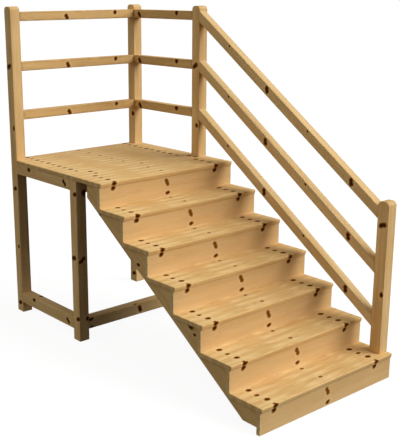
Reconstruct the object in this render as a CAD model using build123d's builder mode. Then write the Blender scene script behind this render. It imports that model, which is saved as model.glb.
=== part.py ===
from build123d import *
import os

# Wooden deck stairs: a flight of equal steps climbs to a landing on posts.  A post and rail guard
# closes the back and the right side of the landing and runs down the right side of the flight.
# The left side of the landing is open, towards the door that the stairs serve.
#
# Millimetres, +Z up.  The origin is on the ground under the middle of the whole object.  The first
# step faces -Y, and the guarded side is +X.  Each piece is one timber, except the landing deck and
# the treads, which are one slab each.

# Steps
width = 1200
rise = 172
going = 250
riser_count = 7
board_thickness = 32
riser_thickness = 27
nosing = 12
nosing_radius = 12
nosing_under_radius = 10

# Landing
landing_depth = 1145
front_post_setback = 285
frame_depth = 72
front_joist_depth = 86
frame_thickness = 38
inner_joist_x = 173

# Posts
post = 80
post_above_deck = 1114
post_top_radius = 26
newel_setback = 42
newel_height = 1000

# Rails
rail = 65
rail_centres = {"bottom": 330, "middle": 687, "top": 1044}
rail_ease = 4

# Ground rails, between the feet of the posts
ground_rail_depth = 80
ground_rail_height = 80

# Stringers
stringer_thickness = 38
stringer_inset = 20
stringer_drop = 257
stringer_head = 186
stringer_foot = 31

# Worked out from the dimensions above
half = width / 2
deck_top = riser_count * rise
deck_underside = deck_top - board_thickness
pitch = rise / going
tread_count = riser_count - 1
run = tread_count * going
front_y = -(run + landing_depth) / 2
back_y = front_y + run + landing_depth
landing_nosing_y = front_y + run
post_top = deck_top + post_above_deck

# Post centres and faces
left_x = -half + post / 2
right_x = half - post / 2
rail_face_x = half - post
back_post_y = back_y - post / 2
back_post_front = back_y - post
front_post_front = landing_nosing_y + front_post_setback
front_post_y = front_post_front + post / 2
front_post_back = front_post_front + post
newel_front = front_y + newel_setback
newel_y = newel_front + post / 2
newel_back = newel_front + post

os.makedirs("parts", exist_ok=True)


def nosing_y(step):
    """Front edge of a tread counted from the ground; the landing comes after the last tread."""
    return front_y + (step - 1) * going


def save(piece, label):
    """Label a finished piece and write it as its own STEP file."""
    piece.part.label = label
    export_step(piece.part, f"parts/{label}.step")


def timber(section_plane, centre, section, length, ease=0):
    """Straight timber whose section is drawn on the given plane, with its long edges eased."""
    with BuildPart() as piece:
        with BuildSketch(section_plane) as outline:
            with Locations(centre):
                Rectangle(*section)
            if ease:
                fillet(outline.vertices(), radius=ease)
        extrude(amount=length)
    return piece


def post_with_round_top(x, y, foot_z, height):
    """Square post with its top rounded over at the front and the back."""
    with BuildPart() as piece:
        with BuildSketch(Plane.XY.offset(foot_z)):
            with Locations((x, y)):
                Rectangle(post, post)
        extrude(amount=height)
        top_edges = piece.faces().sort_by(Axis.Z)[-1].edges()
        fillet(top_edges.filter_by(Axis.X), radius=post_top_radius)
    return piece


def round_nosing(piece):
    """Round the top and bottom front edges of a tread or of the deck."""
    fillet(front_edges(piece)[-1], radius=nosing_radius)
    fillet(front_edges(piece)[0], radius=nosing_under_radius)


def front_edges(piece):
    """Edges of the front face that run across the stairs, lowest first."""
    return piece.edges().filter_by(Axis.X).group_by(Axis.Y)[0].sort_by(Axis.Z)


# Posts.  The two back posts and the front right one rise past the deck as guard posts, the front
# left one stops under the deck, and the newel stands on the first tread.
save(post_with_round_top(left_x, back_post_y, 0, post_top), "back_left_post")
save(post_with_round_top(right_x, back_post_y, 0, post_top), "back_right_post")
save(post_with_round_top(right_x, front_post_y, 0, post_top), "front_right_post")
save(post_with_round_top(right_x, newel_y, rise, newel_height), "newel_post")
save(timber(Plane.XY, (left_x, front_post_y), (post, post), deck_underside), "front_left_post")

# Level rails, flush with the faces of the posts that look onto the landing
back_rail_span = width - 2 * post
side_rail_span = back_post_front - front_post_back
for name, centre_height in rail_centres.items():
    rail_z = deck_top + centre_height
    save(
        timber(
            Plane.YZ.offset(-back_rail_span / 2),
            (back_post_front + rail / 2, rail_z),
            (rail, rail),
            back_rail_span,
            rail_ease,
        ),
        f"back_rail_{name}",
    )
    save(
        timber(
            Plane.XZ.offset(-back_post_front),
            (rail_face_x + rail / 2, rail_z),
            (rail, rail),
            side_rail_span,
            rail_ease,
        ),
        f"side_rail_{name}",
    )

# Sloping rails, parallel to the flight.  Their top edge leaves the landing post level with the top
# of the level rail, and both ends are cut upright against the posts.
rail_plumb_depth = rail * (1 + pitch**2) ** 0.5
rail_fall = (front_post_front - newel_back) * pitch
for name, centre_height in rail_centres.items():
    head_z = deck_top + centre_height + rail / 2
    foot_z = head_z - rail_fall
    with BuildPart() as stair_rail:
        with BuildSketch(Plane.YZ.offset(rail_face_x)):
            with BuildLine():
                Polyline(
                    (front_post_front, head_z),
                    (newel_back, foot_z),
                    (newel_back, foot_z - rail_plumb_depth),
                    (front_post_front, head_z - rail_plumb_depth),
                    close=True,
                )
            make_face()
        extrude(amount=rail)
        fillet(stair_rail.edges().sort_by(SortBy.LENGTH)[-4:], radius=rail_ease)
    save(stair_rail, f"stair_rail_{name}")

# Ground rails, as wide as the posts, on the left and front sides
ground_rail_z = ground_rail_height + ground_rail_depth / 2
ground_section = (post, ground_rail_depth)
save(
    timber(
        Plane.XZ.offset(-back_post_front),
        (left_x, ground_rail_z),
        ground_section,
        side_rail_span,
    ),
    "left_ground_rail",
)
save(
    timber(
        Plane.YZ.offset(-back_rail_span / 2),
        (front_post_y, ground_rail_z),
        ground_section,
        back_rail_span,
    ),
    "front_ground_rail",
)

# Frame under the deck: outer joists flush with the outer faces of the posts, two inner joists, and
# two bearers that carry the deck out to the top riser
frame_z = deck_underside - frame_depth / 2
frame_section = (frame_thickness, frame_depth)
for name, x in (("left", -half + frame_thickness / 2), ("right", half - frame_thickness / 2)):
    save(
        timber(Plane.XZ.offset(-back_post_front), (x, frame_z), frame_section, side_rail_span),
        f"{name}_joist",
    )
for name, y, depth in (
    ("front", front_post_front + frame_thickness / 2, front_joist_depth),
    ("back", back_y - frame_thickness / 2, frame_depth),
):
    save(
        timber(
            Plane.YZ.offset(-back_rail_span / 2),
            (y, deck_underside - depth / 2),
            (frame_thickness, depth),
            back_rail_span,
        ),
        f"{name}_joist",
    )
inner_joist_back = back_y - frame_thickness
inner_joist_span = inner_joist_back - front_post_front - frame_thickness
top_riser_back = landing_nosing_y + nosing + riser_thickness
for name, x in (("left", -inner_joist_x), ("right", inner_joist_x)):
    save(
        timber(Plane.XZ.offset(-inner_joist_back), (x, frame_z), frame_section, inner_joist_span),
        f"inner_joist_{name}",
    )
    save(
        timber(
            Plane.XZ.offset(-front_post_front),
            (x, frame_z),
            frame_section,
            front_post_front - top_riser_back,
        ),
        f"front_bearer_{name}",
    )

# Landing deck, notched round the three posts that pass through it, with a rounded nosing
with BuildPart() as landing_deck:
    with BuildSketch(Plane.XY.offset(deck_underside)):
        with Locations((0, landing_nosing_y + landing_depth / 2)):
            Rectangle(width, landing_depth)
        with Locations((left_x, back_post_y), (right_x, back_post_y), (right_x, front_post_y)):
            Rectangle(post, post, mode=Mode.SUBTRACT)
    extrude(amount=board_thickness)
    round_nosing(landing_deck)
save(landing_deck, "landing_deck")

# Treads, counted from the ground.  Each runs back under the riser behind it.
tread_depth = going + nosing + riser_thickness
for step in range(1, tread_count + 1):
    with BuildPart() as tread:
        with BuildSketch(Plane.YZ.offset(-half)):
            with Locations((nosing_y(step), step * rise)):
                Rectangle(tread_depth, board_thickness, align=(Align.MIN, Align.MAX))
        extrude(amount=width)
        round_nosing(tread)
    save(tread, f"tread_{step}")

# Risers, counted from the ground.  The first stands on the ground, and each of the others stands
# on the back edge of a tread.
for step in range(1, riser_count + 1):
    riser_centre_y = nosing_y(step) + nosing + riser_thickness / 2
    save(
        timber(
            Plane.XY.offset((step - 1) * rise),
            (0, riser_centre_y),
            (width, riser_thickness),
            rise - board_thickness,
        ),
        f"riser_{step}",
    )

# Stringers: boards cut to the steps, with a straight lower edge, a plumb cut behind the top riser
# and a level cut at the foot, which hangs behind the first riser
head_y = landing_nosing_y + stringer_head
lower_edge_at_nosing = deck_top - stringer_drop
lower_edge_at_head = lower_edge_at_nosing + stringer_head * pitch
foot_back_y = landing_nosing_y + (stringer_foot - lower_edge_at_nosing) / pitch
first_riser_back = nosing_y(1) + nosing + riser_thickness
step_outline = []
for step in range(1, riser_count):
    seat_front = nosing_y(step) + nosing + riser_thickness
    seat_z = step * rise - board_thickness
    step_outline += [(seat_front, seat_z), (seat_front + going, seat_z)]
stringer_outline = [
    (first_riser_back, stringer_foot),
    *step_outline,
    (top_riser_back, deck_underside),
    (head_y, deck_underside),
    (head_y, lower_edge_at_head),
    (foot_back_y, stringer_foot),
]
for name, x in (
    ("left", -half + stringer_inset),
    ("right", half - stringer_inset - stringer_thickness),
):
    with BuildPart() as stringer:
        with BuildSketch(Plane.YZ.offset(x)):
            with BuildLine():
                Polyline(*stringer_outline, close=True)
            make_face()
        extrude(amount=stringer_thickness)
    save(stringer, f"{name}_stringer")
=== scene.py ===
import math
import random
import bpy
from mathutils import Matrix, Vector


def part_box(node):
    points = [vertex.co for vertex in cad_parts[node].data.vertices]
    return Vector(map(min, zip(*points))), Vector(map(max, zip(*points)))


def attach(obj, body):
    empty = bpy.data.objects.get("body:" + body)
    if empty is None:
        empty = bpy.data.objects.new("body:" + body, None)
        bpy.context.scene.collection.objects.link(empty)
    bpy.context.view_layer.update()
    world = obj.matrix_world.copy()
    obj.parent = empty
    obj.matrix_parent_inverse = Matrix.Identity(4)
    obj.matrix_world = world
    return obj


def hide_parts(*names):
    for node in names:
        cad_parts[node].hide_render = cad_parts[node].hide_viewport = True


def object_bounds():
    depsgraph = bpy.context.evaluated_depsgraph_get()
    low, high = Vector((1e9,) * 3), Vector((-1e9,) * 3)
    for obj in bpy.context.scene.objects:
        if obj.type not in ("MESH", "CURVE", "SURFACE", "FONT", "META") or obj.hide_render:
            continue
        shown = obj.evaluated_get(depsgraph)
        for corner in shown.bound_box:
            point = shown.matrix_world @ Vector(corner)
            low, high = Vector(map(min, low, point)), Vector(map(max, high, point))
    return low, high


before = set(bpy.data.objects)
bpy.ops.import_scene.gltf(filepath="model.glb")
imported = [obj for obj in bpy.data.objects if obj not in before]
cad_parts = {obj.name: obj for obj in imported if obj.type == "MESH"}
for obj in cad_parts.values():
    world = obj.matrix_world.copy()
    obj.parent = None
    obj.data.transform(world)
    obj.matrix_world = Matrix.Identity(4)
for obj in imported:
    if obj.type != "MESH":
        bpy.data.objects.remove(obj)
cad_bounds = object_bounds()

from types import SimpleNamespace

import bmesh
import bpy
from bpy.props import FloatProperty, FloatVectorProperty, IntProperty, PointerProperty
from mathutils import Euler, Matrix, Vector

bl_info = {
    "name": "Wooden Deck Stairs",
    "version": (1, 0, 0),
    "blender": (4, 5, 0),
    "location": "View3D > Sidebar > Deck Stairs",
    "description": "Builds pine deck stairs with a landing and a guard around a fixed CAD frame",
    "category": "Add Mesh",
}

BODY = "root"
TREAD_COUNT = 6
RISER_COUNT = 7
RAIL_HEIGHTS = ("bottom", "middle", "top")

# The first step faces -Y, and the guarded side is +X
X, Y, Z = Vector((1, 0, 0)), Vector((0, 1, 0)), Vector((0, 0, 1))
SIDES = {"left": -X, "right": X, "front": -Y, "back": Y, "under": -Z, "top": Z}


def srgb(red, green, blue):
    """Linear colour of an sRGB colour given in 0 to 255."""
    return tuple(
        c / 3294.6 if c <= 10.31 else ((c / 255 + 0.055) / 1.055) ** 2.4 for c in (red, green, blue)
    )


# ---------------------------------------------------------------------------------------------
# Settings
# ---------------------------------------------------------------------------------------------


def setting(kind, name, description, default, **more):
    return kind(name=name, description=description, default=default, **more)


def length(*given):
    return setting(FloatProperty, *given, min=0.0, subtype="DISTANCE", unit="LENGTH")


def colour(*given):
    return setting(FloatVectorProperty, *given, size=3, min=0.0, max=1.0, subtype="COLOR")


def factor(*given):
    return setting(FloatProperty, *given, min=0.0, max=1.0, subtype="FACTOR")


def number(*given):
    return setting(FloatProperty, *given)


def angle(name, description, degrees):
    turn = math.radians(degrees)
    return setting(FloatProperty, name, description, turn, subtype="ANGLE", unit="ROTATION")


class StairsTimberSettings(bpy.types.PropertyGroup):
    """Sizes of the timbers that the frame leaves open."""

    post_ease: length("Post arris", "Radius of the long edges of posts and ground rails", 0.0035)
    post_top: length("Post top rounding", "Radius over the front and back of a post's top", 0.026)
    post_top_side: length("Post top side", "Easing of a post's top at its left and right", 0.003)
    rail_ease: length("Rail arris", "Radius of the long edges of the rails", 0.005)
    board_ease: length("Board arris", "Radius of the edges of deck boards and risers", 0.0016)
    frame_ease: length("Frame arris", "Radius of the edges of joists and stringers", 0.0025)
    end_ease: length("End easing", "Radius of the edges round a sawn end", 0.002)
    board_end: length("Board end rounding", "Radius of the ends of a deck board", 0.005)
    nosing: length("Nosing rounding", "Radius of the upper front edge of a tread", 0.007)
    nosing_under: length("Nosing under rounding", "How far the front of a tread slopes back", 0.008)
    nosing_slope: length("Nosing slope", "Height over which a tread's front slopes back", 0.024)
    joint: length("Board joint", "Gap between two deck boards", 0.0012)
    board_width: length("Board width", "Width of a whole deck board", 0.1475)
    first_board: length("First board", "Width of the front board of a tread", 0.122)
    stringer_drop: length(
        "Stringer drop", "Height from the landing nosing down to the stringer's lower edge", 0.257
    )


class StairsWoodSettings(bpy.types.PropertyGroup):
    """Colours and grain of the pine."""

    pale: colour("Early wood", "Palest wood between two growth rings", srgb(232, 195, 140))
    tan: colour("Heart tone", "Warmer wood in the darker streaks", srgb(210, 166, 108))
    late: colour("Late wood", "Dark line of a growth ring", srgb(176, 122, 66))
    knot: colour("Knot", "Brown at the rim of a knot", srgb(152, 92, 22))
    knot_core: colour("Knot core", "Near black at the core of a knot", srgb(56, 25, 2))
    # Bright wood is also the pale of the rubbed edges of unhandled boards, partly a painted
    # highlight
    bright: colour("Bright wood", "Wood beside knots and on worn edges", srgb(236, 204, 152))
    # The handled colour is also the painted shade over the top of each riser, under the nosing
    # above
    handled: colour("Handled edge", "Dark edges of posts and rails", srgb(176, 134, 74))
    ring_width: length("Growth ring", "Distance between two growth rings", 0.0042)
    ring_strength: factor("Ring contrast", "How strongly the growth rings show", 0.42)
    streak_strength: factor("Streak contrast", "How strongly the long streaks show", 0.7)
    # Rubbed edges are worn wood, and on unhandled boards also painted highlight, with painted light
    # at a riser's foot
    edge_wear_and_highlight: factor("Edge wear", "How strongly rubbed edges show", 0.3)
    roughness: factor("Roughness", "Roughness of planed wood", 0.62)
    bump: length("Bump depth", "Height of the grain's relief", 0.0006)
    seed: IntProperty(name="Seed", description="Chooses the grain of every board", default=7, min=0)


class StairsStageSettings(bpy.types.PropertyGroup):
    """Floor, light and camera."""

    floor_light: factor("Floor light", "White of the floor where no lamp reaches it", 0.93)
    floor_shadow: factor("Floor shadow", "White that the lamps add outside shadows", 0.12)
    floor_bounce: factor("Floor bounce", "Light that the floor sends back to the stairs", 0.06)
    key_strength: number("Key light", "Strength of the key light", 2.55)
    key_softness: angle("Key softness", "Angle over which the key light spreads", 50.0)
    key_azimuth: angle("Key azimuth", "Direction of the key light, from -Y towards +X", 34.0)
    key_elevation: angle("Key elevation", "Height of the key light above the horizon", 33.0)
    top_strength: number("Top light", "Strength of the light from above", 0.8)
    top_elevation: angle("Top elevation", "Height of the light from above over the horizon", 60.0)
    fill_strength: number("Fill light", "Strength of the light from the open side", 0.67)
    fill_azimuth: angle("Fill azimuth", "Direction of the fill light, from -Y towards +X", -115.0)
    fill_elevation: angle("Fill elevation", "Height of the fill light above the horizon", 25.0)
    broad: angle("Breadth", "Angle over which the top light and the fill light spread", 60.0)
    sky_even: number("Even sky", "Strength of the light from all round", 0.12)
    sky_top: number("Top sky", "Strength of the light from overhead", 0.1)
    camera_place: FloatVectorProperty(
        name="Camera place",
        description="Where the camera stands",
        default=(-3.847, -4.3705, 2.449),
        size=3,
        subtype="TRANSLATION",
        unit="LENGTH",
    )
    camera_azimuth: angle("Camera azimuth", "Direction that the camera looks from", -39.76)
    camera_elevation: angle("Camera elevation", "Angle that the camera looks down", 14.91)
    camera_roll: angle("Camera roll", "Turn of the camera about its line of sight", -0.145)
    camera_lens: number("Focal length", "Focal length in millimetres for a 36 mm sensor", 71.26)
    camera_shift: number("Camera shift", "Sideways shift of the lens", 0.0833)
    camera_rise: number("Camera rise", "Upward shift of the lens", -0.0018)


# ---------------------------------------------------------------------------------------------
# Wood material
# ---------------------------------------------------------------------------------------------


class Value:
    """What a node gives. Arithmetic on it adds the Math node that works it out."""

    def __init__(self, graph, socket):
        self.graph = graph
        self.socket = socket

    def __add__(self, other):
        return self.graph.math("ADD", self, other)

    def __sub__(self, other):
        return self.graph.math("SUBTRACT", self, other)

    def __rsub__(self, other):
        return self.graph.math("SUBTRACT", other, self)

    def __mul__(self, other):
        return self.graph.math("MULTIPLY", self, other)

    def __truediv__(self, other):
        return self.graph.math("DIVIDE", self, other)


class Graph:
    """Adds nodes to a tree, and hands out what they give as Values."""

    def __init__(self, tree):
        self.tree = tree
        self.count = 0

    def node(self, kind, inputs=None, **settings):
        made = self.tree.nodes.new(kind)
        made.location = (180 * (self.count % 12), -240 * (self.count // 12))
        self.count += 1
        for key, value in settings.items():
            setattr(made, key, value)
        for key, value in (inputs or {}).items():
            self.feed(made.inputs[key], value)
        return made

    def feed(self, socket, value):
        if isinstance(value, Value):
            self.tree.links.new(value.socket, socket)
        elif isinstance(value, (tuple, list)) and len(value) == 3 and socket.type == "RGBA":
            socket.default_value = (*value, 1.0)
        else:
            socket.default_value = value

    def output(self, node):
        """First output of a node."""
        return Value(self, node.outputs[0])

    def outputs(self, node):
        """Outputs of a node by their names."""
        return {socket.name: Value(self, socket) for socket in node.outputs}

    def math(self, operation, first, second=0.0, clamp=False):
        inputs = {0: first, 1: second}
        made = self.node("ShaderNodeMath", inputs, operation=operation, use_clamp=clamp)
        return self.output(made)

    def larger(self, first, second):
        return self.math("MAXIMUM", first, second)

    def vector(self, operation, first, second):
        made = self.node("ShaderNodeVectorMath", {0: first, 1: second}, operation=operation)
        return self.output(made)

    def length(self, vector):
        made = self.node("ShaderNodeVectorMath", {0: vector}, operation="LENGTH")
        return self.outputs(made)["Value"]

    def attribute(self, name):
        return self.outputs(self.node("ShaderNodeAttribute", attribute_name=name))["Vector"]

    def split(self, vector):
        return self.outputs(self.node("ShaderNodeSeparateXYZ", {0: vector})).values()

    def join(self, x, y, z):
        return self.output(self.node("ShaderNodeCombineXYZ", {0: x, 1: y, 2: z}))

    def noise_node(self, vector, stretch, detail=2.0, roughness=0.5):
        """Noise; stretch is its scale along the grain and across it, per metre."""
        placed = self.vector("MULTIPLY", vector, stretch)
        inputs = {"Vector": placed, "Scale": 1.0, "Detail": detail, "Roughness": roughness}
        return self.node("ShaderNodeTexNoise", inputs)

    def noise(self, *given):
        """Number from 0 to 1 that wanders along and across the grain."""
        return self.output(self.noise_node(*given))

    def slope(self, value, low, high):
        """0 below low and 1 above high; low may be the higher number, and then it falls."""
        flip = low > high
        inputs = {
            "Value": value,
            "From Min": min(low, high),
            "From Max": max(low, high),
            "To Min": 1.0 if flip else 0.0,
            "To Max": 0.0 if flip else 1.0,
        }
        made = self.node("ShaderNodeMapRange", inputs, interpolation_type="SMOOTHSTEP")
        return self.output(made)

    def ramp(self, value, stops):
        """Value that follows the given (place, level) stops."""
        made = self.node("ShaderNodeValToRGB", {0: value})
        made.color_ramp.interpolation = "EASE"
        elements = made.color_ramp.elements
        while len(elements) < len(stops):
            elements.new(1.0)
        for element, (place, level) in zip(elements, stops):
            element.position = place
            element.color = (level, level, level, 1.0)
        return self.output(made)

    def mix(self, amount, first, second, blend="MIX"):
        made = self.node("ShaderNodeMix", data_type="RGBA", blend_type=blend)
        for place, value in ((0, amount), (6, first), (7, second)):
            self.feed(made.inputs[place], value)
        return Value(self, made.outputs[2])


def emptied_graph(owner):
    """Graph of a material's or a world's own node tree, with nothing in it."""
    owner.use_nodes = True
    owner.node_tree.nodes.clear()
    return Graph(owner.node_tree)


# Deck boards carry two rows of knots, this far behind the front edge of a board. PALE_STRETCHES
# says how pale the wood beside the rows is at places along a board, as shares of PATTERN_LENGTH.
WEAK_ROW, STRONG_ROW = 0.021, 0.0955
PATTERN_LENGTH = 1.2
PALE_STRETCHES = (
    (0.0, 0.5),
    (0.08, 0.7),
    (0.13, 1.0),
    (0.18, 0.7),
    (0.25, 0.0),
    (0.31, 0.0),
    (0.37, 1.0),
    (0.44, 0.55),
    (0.505, 1.0),
    (0.56, 0.4),
    (0.62, 0.0),
    (0.70, 0.0),
    (0.745, 0.7),
    (0.80, 0.1),
    (0.93, 0.15),
    (1.0, 0.4),
)

# What the node group reads from a material
WOOD_COLOURS = (
    "Early Wood",
    "Heart Tone",
    "Late Wood",
    "Bright Wood",
    "Knot",
    "Knot Core",
    # Edge colour: worn wood, and on unhandled boards a painted highlight too
    "Worn Edge",
    # Colour of the painted shade under a tread's nosing
    "Soaked Wood",
)
WOOD_NUMBERS = ("Ring Width", "Ring Contrast", "Streak Contrast", "Edge Wear", "Roughness")

# Tint of each kind of timber over the colours of the settings
POST_TINT = (1.03, 1.06, 1.06)
RAIL_TINT = (0.97, 0.97, 0.90)
STAIR_RAIL_TINT = (0.97, 1.03, 1.07)
FRAME_TINT = (1.04, 1.06, 1.06)
STRINGER_TINT = (0.98, 0.98, 0.93)
DECK_TINT = (1.05, 1.09, 1.04)
RISER_TINT = (0.98, 0.995, 1.0)


def knot_marks(g, grain):
    """Marks of the nearest knot, an uneven ellipse or two of them that run together.

    away is the distance from its middle, where 1 is the rim. there is 1 on faces that have a knot,
    inside and near are 1 in it and round it, and dark, core, rings and crack draw its wood.
    """
    x, y, level = g.split(g.attribute("knot"))
    double = g.math("GREATER_THAN", level, 1.0)
    dark = level - double
    lobe = g.math("ABSOLUTE", x) * 1.5 - 0.5
    lobe = (lobe - x) * double + x
    skew = g.math("SIGN", x) * double * 0.14
    ragged = g.noise(grain, (55.0, 75.0, 75.0), 2.0, 0.6)
    away = g.length(g.join(lobe, y + skew, 0.0)) + (ragged * 0.8 - 0.4)
    there = g.math("GREATER_THAN", dark, 0.01)
    inside = g.slope(away, 1.18, 0.88) * there
    cracks = g.math("SINE", ragged * 9.0 + g.math("ARCTAN2", y, x) * 3.0)
    return SimpleNamespace(
        away=away,
        there=there,
        dark=dark,
        inside=inside,
        near=g.slope(away, 2.6, 0.9) * there,
        core=g.slope(away, 1.0, 0.5) * inside,
        rings=g.math("SINE", away * 21.0),
        crack=g.slope(cracks, 0.86, 0.98) * g.slope(away, 0.95, 0.4),
    )


def late_wood(g, grain, knot, ring_width):
    """1 on the dark line of a growth ring; the pith wanders, and the rings bend round knots."""
    wander = g.outputs(g.noise_node(grain, (1.1, 0.0, 0.0)))["Color"]
    wander = g.vector("MULTIPLY", g.vector("SUBTRACT", wander, (0.5, 0.5, 0.5)), (0.0, 0.05, 0.05))
    from_pith = g.vector("MULTIPLY", g.vector("ADD", grain, wander), (0.0, 1.0, 1.0))
    swirl = g.noise(grain, (5.0, 30.0, 30.0))
    squeeze = g.math("EXPONENT", knot.away * knot.away * -0.55) * knot.there
    phase = g.math("FRACT", g.length(from_pith) / ring_width + swirl * 2.2 + squeeze * 3.5)
    uneven = g.noise(grain, (2.5, 24.0, 24.0), 1.0)
    return g.slope(phase, 0.25, 0.86) * g.slope(phase, 1.0, 0.9) * g.slope(uneven, 0.2, 0.75)


def deck_rows(g, wood, grain, streak, given):
    """Wood with a deck board's pattern: pale beside the rows of knots, and darker along them."""
    along, behind, is_plank = g.split(g.attribute("plank"))
    sway = g.noise(grain, (9.0, 14.0, 14.0)) * 0.012 - 0.006
    lane = (behind + sway - WEAK_ROW) * (2 * math.pi / (STRONG_ROW - WEAK_ROW))
    lane = g.math("COSINE", lane)
    place = (along + (streak * 0.08 - 0.04)) / PATTERN_LENGTH
    pale = g.ramp(place, PALE_STRETCHES) * is_plank
    plain = (1.0 - pale) * is_plank
    row = g.slope(lane, 0.0, 1.0) * is_plank
    wood = g.mix(g.larger(row * 0.4, plain * 0.45), wood, given["Heart Tone"])
    lit = g.slope(lane, 0.55, -0.85) * pale * (1.1 - streak * 0.3)
    return g.mix(lit * 0.75, wood, given["Bright Wood"])


def pine_group():
    """Node group that draws pine from attributes of the mesh.

    grain holds a point's place in its own log: along the trunk, and across it from the pith.
    plank holds a deck board's own pattern: the place along it, behind its front edge, and 1.
    knot holds the place across the nearest knot, where 1 is its rim, and how dark the knot is,
    with 1 added to that for a knot of two branches that run together.
    finish holds how near an edge the point is, whether it is sawn end grain, and the board's tone.
    The last of them holds the painted shade below a riser's upper edge, where the nosing of the
    tread above shades it.
    """
    if "Pine Grain" in bpy.data.node_groups:
        return bpy.data.node_groups["Pine Grain"]
    tree = bpy.data.node_groups.new("Pine Grain", "ShaderNodeTree")
    for names, direction, kind in (
        (WOOD_COLOURS, "INPUT", "NodeSocketColor"),
        (WOOD_NUMBERS, "INPUT", "NodeSocketFloat"),
        (("Color",), "OUTPUT", "NodeSocketColor"),
        (("Roughness", "Height"), "OUTPUT", "NodeSocketFloat"),
    ):
        for name in names:
            tree.interface.new_socket(name, in_out=direction, socket_type=kind)
    g = Graph(tree)
    given = g.outputs(g.node("NodeGroupInput"))
    contrast = given["Streak Contrast"]
    grain = g.attribute("grain")
    edge, end_grain, tone = g.split(g.attribute("finish"))
    knot = knot_marks(g, grain)
    late = late_wood(g, grain, knot, given["Ring Width"])

    # Long streaks, broad patches and fine fibres
    streak = g.slope(g.noise(grain, (1.7, 34.0, 34.0), 3.0, 0.55), 0.3, 0.7)
    patch = g.slope(g.noise(grain, (3.2, 9.0, 9.0)), 0.3, 0.7)
    fibre = g.noise(grain, (22.0, 700.0, 700.0), 2.0, 0.7)
    fleck = g.slope(g.noise(grain, (38.0, 420.0, 420.0), 1.0, 0.4), 0.72, 0.8)
    mottle = g.slope(g.noise(grain, (10.0, 28.0, 28.0), 1.0, 0.4), 0.35, 0.65)
    blend = mottle * 0.25 + (streak * 0.45 + patch * 0.3)
    wood = g.mix((blend - 0.5) * contrast + 0.5, given["Early Wood"], given["Heart Tone"])

    # The pattern of deck boards, growth rings and flecks, and the tone of the board
    wood = deck_rows(g, wood, grain, streak, given)
    wood = g.mix(late * (end_grain * 0.2 + given["Ring Contrast"]), wood, given["Late Wood"])
    wood = g.mix(fleck * 0.25, wood, given["Late Wood"])
    blotch = (mottle - 0.5) * contrast * 0.09 + 1.0
    shade = (fibre * 0.12 + 0.94) * blotch * tone * (1.0 - end_grain * 0.08)
    wood = g.mix(1.0, wood, g.join(shade, shade, shade), "MULTIPLY")

    # Pale, then amber wood round a knot, rubbed edges that are worn and on unhandled boards painted
    # highlight too, and painted shade over the top of a riser under the nosing above
    wood = g.mix(knot.near * g.slope(knot.away, 1.0, 1.7) * 0.55, wood, given["Bright Wood"])
    wood = g.mix(knot.near * g.slope(knot.away, 1.6, 1.0) * 0.6, wood, given["Late Wood"])
    # Rubbed edges: worn, and on unhandled boards also painted highlight, with painted light thrown
    # up at a riser's foot
    rub_and_highlight = edge * g.slope(g.noise(grain, (14.0, 60.0, 60.0), 3.0), 0.3, 0.62)
    wood = g.mix(rub_and_highlight * given["Edge Wear"], wood, given["Worn Edge"])
    # Painted shade over the top of a riser, where the nosing above shades it
    soaked, *_ = g.split(g.attribute("soak"))
    wood = g.mix(soaked * 0.25, wood, given["Soaked Wood"])

    # The knots themselves
    dark = g.math("ADD", knot.core * knot.dark, knot.rings * 0.07 + 0.05, clamp=True)
    dark = g.larger(dark, knot.crack * knot.dark)
    wood = g.mix(knot.inside, wood, g.mix(dark, given["Knot"], given["Knot Core"]))

    rough = given["Roughness"] + (fibre * 0.16 - 0.08) + end_grain * 0.18 + knot.inside * 0.2
    rough = g.math("SUBTRACT", rough, rub_and_highlight * 0.1, clamp=True)
    height = fibre * 0.35 + late * 0.3 + streak * 0.4 + knot.inside * 0.35 - knot.crack * 0.6
    g.node("NodeGroupOutput", {"Color": wood, "Roughness": rough, "Height": height})
    return tree


def pine(name, tint=(1.0, 1.0, 1.0), rings=1.0, streaks=1.0, wear_and_highlight=1.0, handled=False):
    """Pine material of one kind of timber, with its own tint and strength of grain and edge marks.

    The edges of handled timber are darkened, and those of the other boards are worn pale with
    painted highlight too.
    """
    if name in bpy.data.materials:
        return bpy.data.materials[name]
    wood = bpy.context.scene.stairs_wood
    material = bpy.data.materials.new(name)
    g = emptied_graph(material)

    def tinted(paint):
        return tuple(min(level * part, 1.0) for level, part in zip(paint, tint))

    given = {
        "Early Wood": tinted(wood.pale),
        "Heart Tone": tinted(wood.tan),
        "Late Wood": tinted(wood.late),
        "Bright Wood": tinted(wood.bright),
        "Knot": tuple(wood.knot),
        "Knot Core": tuple(wood.knot_core),
        "Worn Edge": tinted(wood.handled if handled else wood.bright),
        # The painted shade under the nosings takes the handled colour
        "Soaked Wood": tinted(wood.handled),
        "Ring Width": wood.ring_width,
        "Ring Contrast": wood.ring_strength * rings,
        "Streak Contrast": wood.streak_strength * streaks,
        "Edge Wear": wood.edge_wear_and_highlight * wear_and_highlight,
        "Roughness": wood.roughness,
    }
    drawn = g.outputs(g.node("ShaderNodeGroup", given, node_tree=pine_group()))
    relief = {"Height": drawn["Height"], "Strength": 0.8, "Distance": wood.bump}
    surface = {
        "Base Color": drawn["Color"],
        "Roughness": drawn["Roughness"],
        "Normal": g.output(g.node("ShaderNodeBump", relief)),
        "IOR": 1.45,
        "Specular IOR Level": 0.05,
    }
    shader = g.output(g.node("ShaderNodeBsdfPrincipled", surface))
    g.node("ShaderNodeOutputMaterial", {"Surface": shader})
    return material


# ---------------------------------------------------------------------------------------------
# Timber
# ---------------------------------------------------------------------------------------------

# How far rubbing reaches from an arris, on unhandled boards with painted highlight and at a riser's
# foot painted light from the tread, and how far down from the top the risers carry painted shade
# under the nosing
EDGE_BAND = 0.006
RISER_BAND = 0.011
RAIL_BAND = 0.018
NOSING_SHADE_BAND = 0.12

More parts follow.
